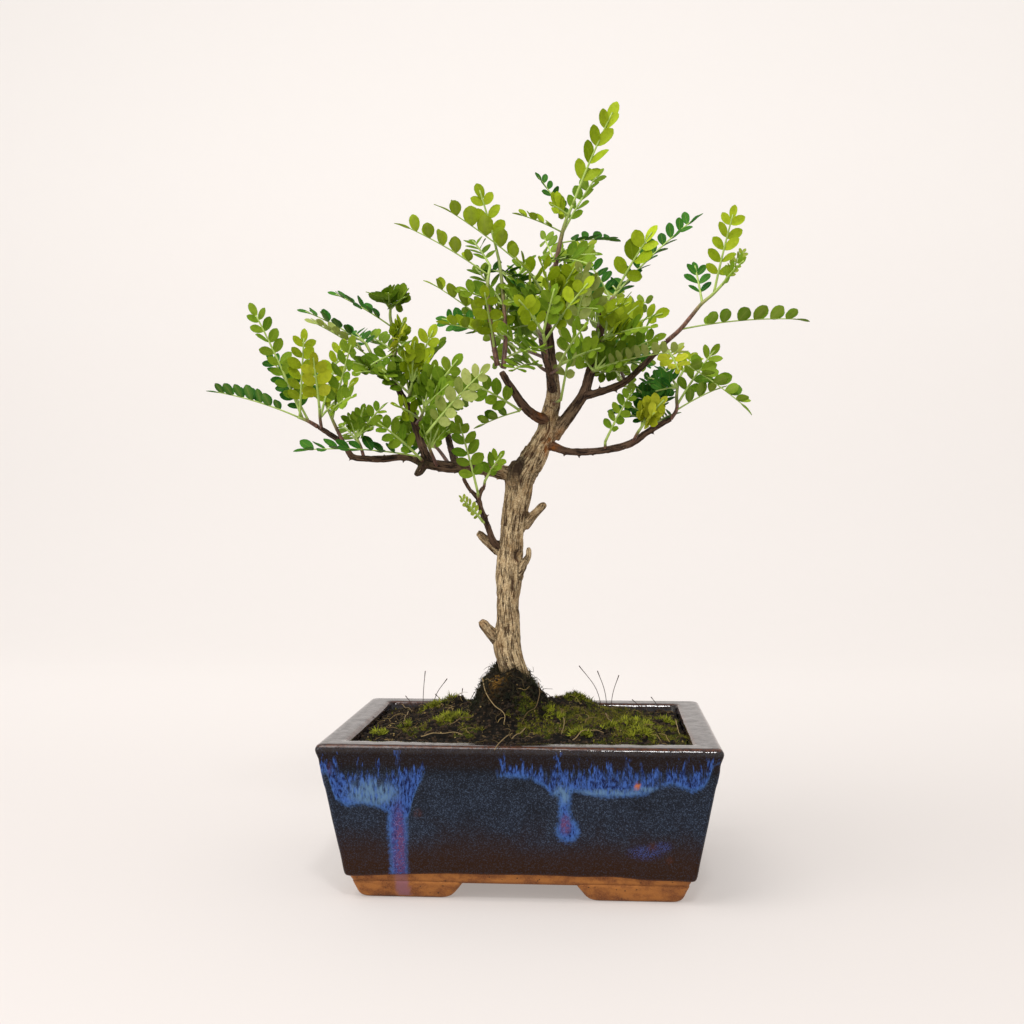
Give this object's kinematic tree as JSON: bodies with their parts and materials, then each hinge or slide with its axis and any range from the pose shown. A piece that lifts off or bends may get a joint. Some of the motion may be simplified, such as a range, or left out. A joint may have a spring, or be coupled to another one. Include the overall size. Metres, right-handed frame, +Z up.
{
  "type": "chinese pepper bonsai in a pot",
  "caption": "Small tree with pinnate leaves on a bare curved trunk, in a blue and brown glazed rectangular tray with corner feet.",
  "frame": {"origin": "middle of the whole object in X and Y, on the table under the feet", "axes": "+Z up, +X along the tray's long side to the viewer's right, -Y towards the viewer"},
  "size_m": [0.3214, 0.2024, 0.4264],
  "materials": {
    "glaze": "gloss",
    "screen": "matte",
    "compost": "matte",
    "bark": "matte",
    "leaf_bright": "satin",
    "leaf_mid": "satin",
    "leaf_dark": "satin",
    "leaf_yellow": "satin",
    "leaf_pale": "satin",
    "leaf_young": "satin"
  },
  "bodies": {
    "root": {"pot": "glaze", "drain_screen_left": "screen", "drain_screen_right": "screen", "soil": "compost", "tree": "bark", "spray_crown_tip": "leaf_bright", "spray_right_tip": "leaf_mid", "spray_left_tip": "leaf_dark", "spray_left_row": "leaf_bright", "spray_left_fan": "leaf_bright", "spray_upper_left": "leaf_bright", "spray_right_crown": "leaf_bright", "spray_left_rise_tip": "leaf_mid", "spray_left_twig": "leaf_dark", "spray_left_yellow": "leaf_yellow", "spray_left_inner": "leaf_mid", "spray_left_long_leaf": "leaf_dark", "spray_left_small_rise": "leaf_mid", "spray_left_right_hand": "leaf_bright", "spray_left_front": "leaf_mid", "spray_left_pale": "leaf_pale", "spray_left_behind": "leaf_mid", "spray_hanging_leaf": "leaf_mid", "spray_small_leaf": "leaf_mid", "spray_twig_bud": "leaf_young", "spray_left_upper_fall": "leaf_mid", "spray_right_drop": "leaf_mid", "spray_right_fan": "leaf_bright", "spray_right_arch": "leaf_mid", "spray_right_behind": "leaf_dark", "spray_low_right_tip": "leaf_mid", "spray_low_right_dark": "leaf_dark", "spray_low_right_bright": "leaf_yellow", "spray_low_right_small": "leaf_mid", "spray_right_front_pale": "leaf_pale", "spray_middle_front": "leaf_bright", "spray_middle_front_right": "leaf_mid", "spray_middle_stem": "leaf_pale", "spray_middle_low_left": "leaf_mid", "spray_middle_top": "leaf_bright", "spray_back_inner_left": "leaf_mid", "spray_back_left_tip": "leaf_mid", "spray_back_tip": "leaf_mid", "spray_back_right_tip": "leaf_mid", "spray_back_top": "leaf_bright", "spray_back_low_left": "leaf_mid", "spray_back_low_right": "leaf_mid"}
  },
  "joints": []
}
